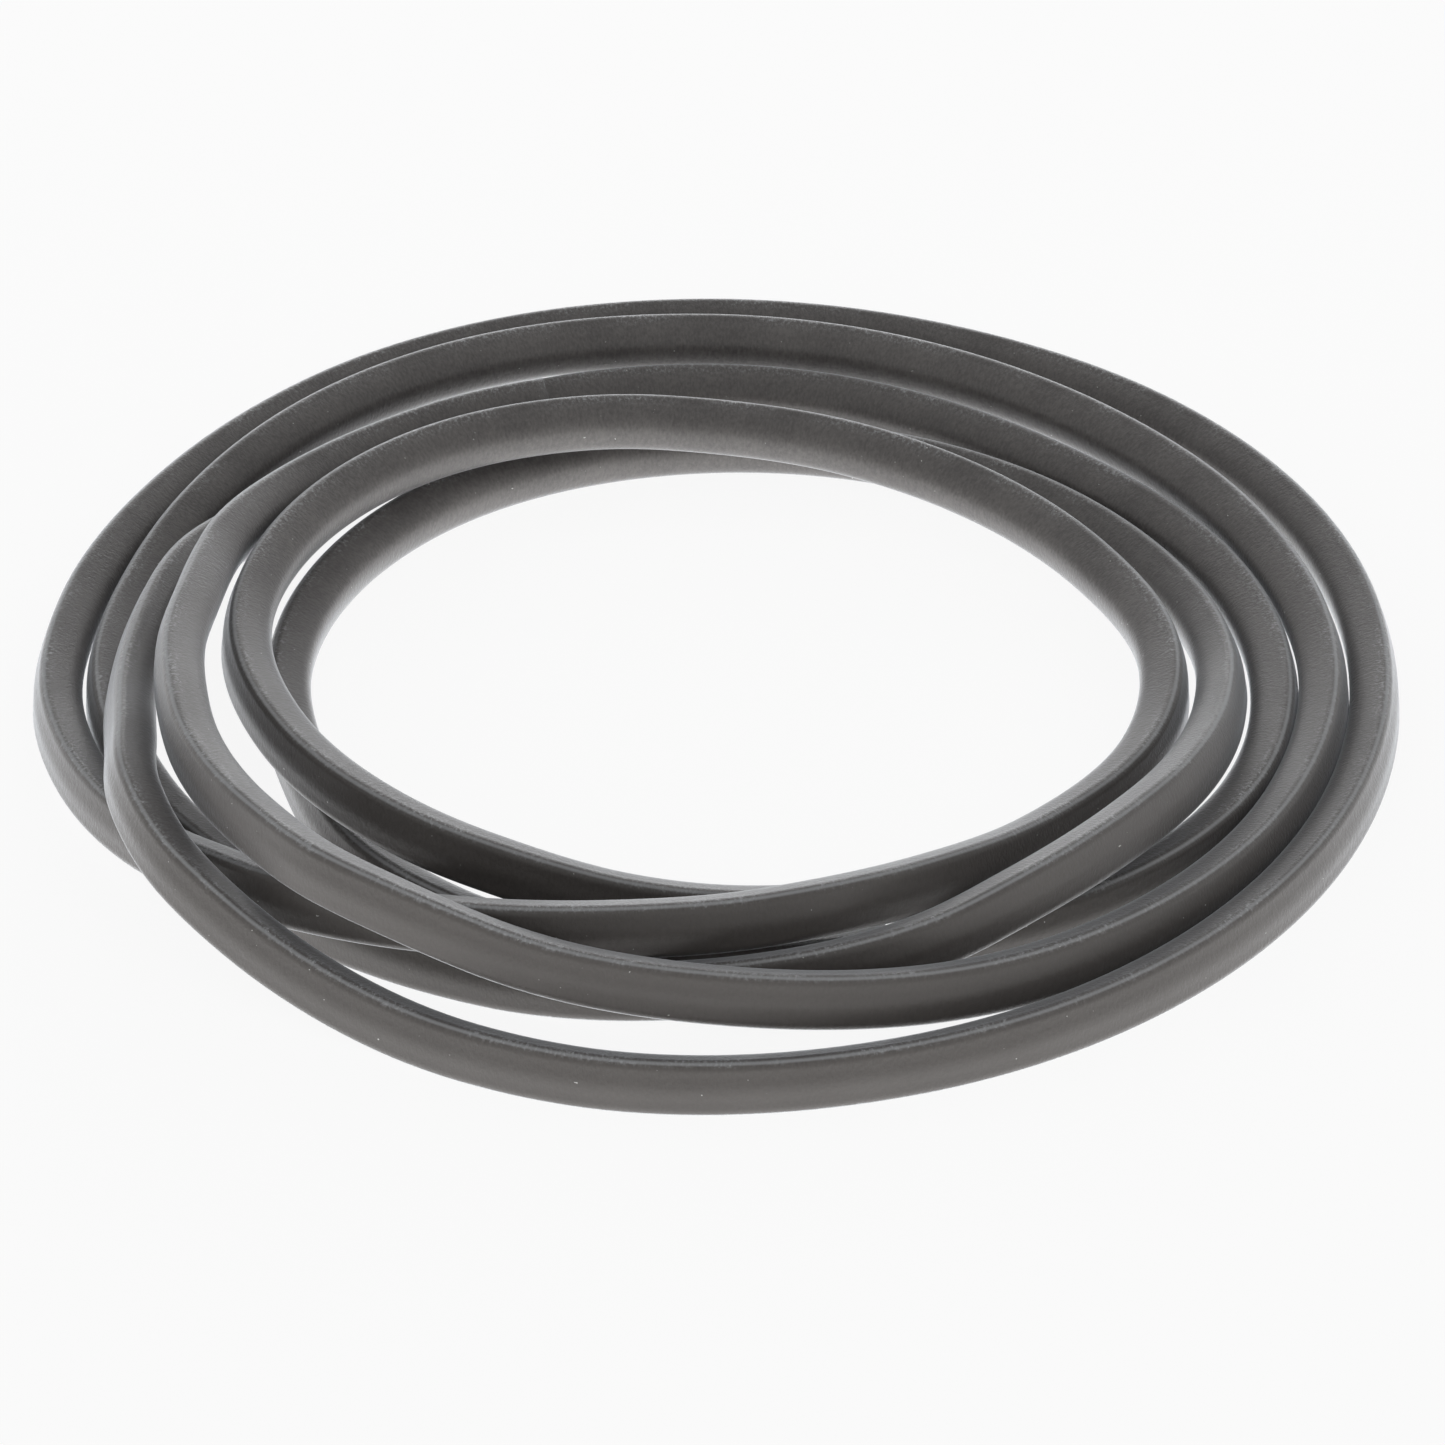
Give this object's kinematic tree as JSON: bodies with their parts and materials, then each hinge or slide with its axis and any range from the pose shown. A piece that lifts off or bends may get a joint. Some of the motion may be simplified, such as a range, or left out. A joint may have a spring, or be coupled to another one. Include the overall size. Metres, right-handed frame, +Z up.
{
  "type": "v belt",
  "caption": "Open-ended wrapped rubber V-belt lying in a loose coil; trapezoid section with fabric cover, overcord, gum, tensile cords and compression rubber, driving pulleys once joined.",
  "frame": {"origin": "middle of the coil's outline, on the floor plane it lies on", "axes": "+Z up out of the floor through the coil's eye; the picture is taken from -Y, with +X to its right; the upper cut end lies at the back left"},
  "size_m": [0.286, 0.2866, 0.0366],
  "materials": {
    "rubberised_fabric": "matte dark grey, fabric-imprinted",
    "overcord_rubber": "matte black",
    "adhesion_gum": "matte brown-black",
    "polyester_cord": "dipped tan yarn",
    "compression_rubber": "matte black"
  },
  "bodies": {
    "root": {"cover_jacket": "rubberised_fabric", "overcord_rubber": "overcord_rubber", "adhesion_gum_upper": "adhesion_gum", "tensile_cord_1": "polyester_cord", "tensile_cord_2": "polyester_cord", "tensile_cord_3": "polyester_cord", "tensile_cord_4": "polyester_cord", "tensile_cord_5": "polyester_cord", "adhesion_gum_lower": "adhesion_gum", "compression_rubber": "compression_rubber"}
  },
  "joints": []
}
